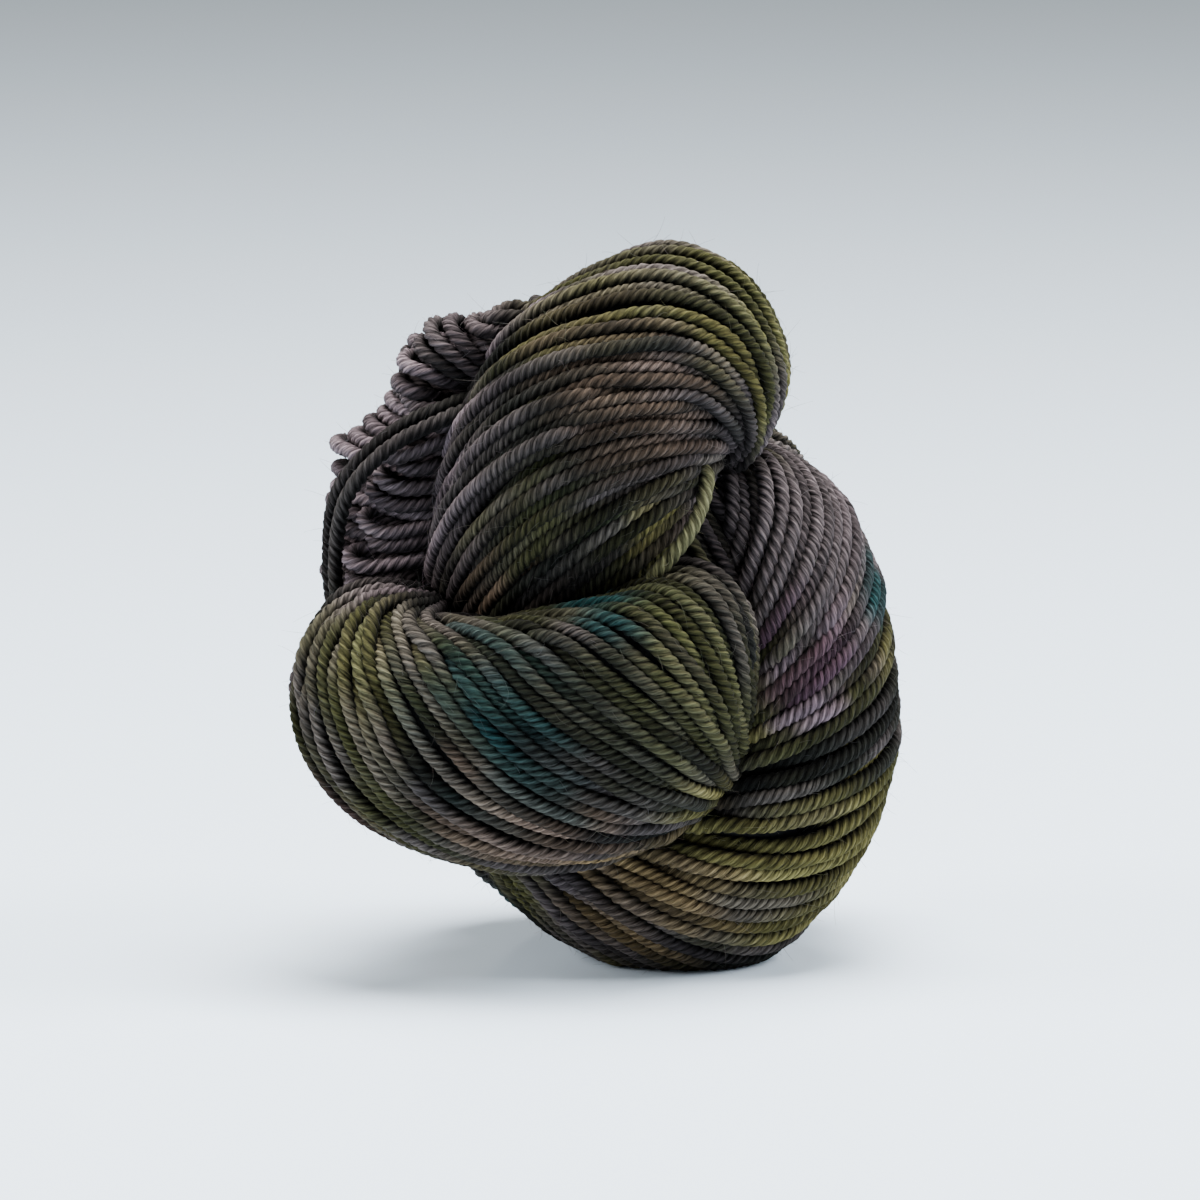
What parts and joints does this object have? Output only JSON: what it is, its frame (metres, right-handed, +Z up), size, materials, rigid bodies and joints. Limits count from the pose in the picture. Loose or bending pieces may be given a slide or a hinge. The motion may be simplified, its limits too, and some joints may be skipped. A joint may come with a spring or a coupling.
{
  "type": "skein of yarn",
  "caption": "Skein of plied wool yarn, twisted and coiled into a compact ball of fat overlapping folds that stands on its side.",
  "frame": {"origin": "on the resting surface, under the middle of the skein's box", "axes": "+Z up; the folded front faces -Y; the longest extent runs along Z and the shortest along Y"},
  "size_m": [0.1038, 0.0898, 0.1248],
  "materials": {
    "yarn": "matt hand-dyed wool in charcoal, olive, teal, plum and mauve"
  },
  "bodies": {
    "root": {"skein": "yarn"}
  },
  "joints": []
}
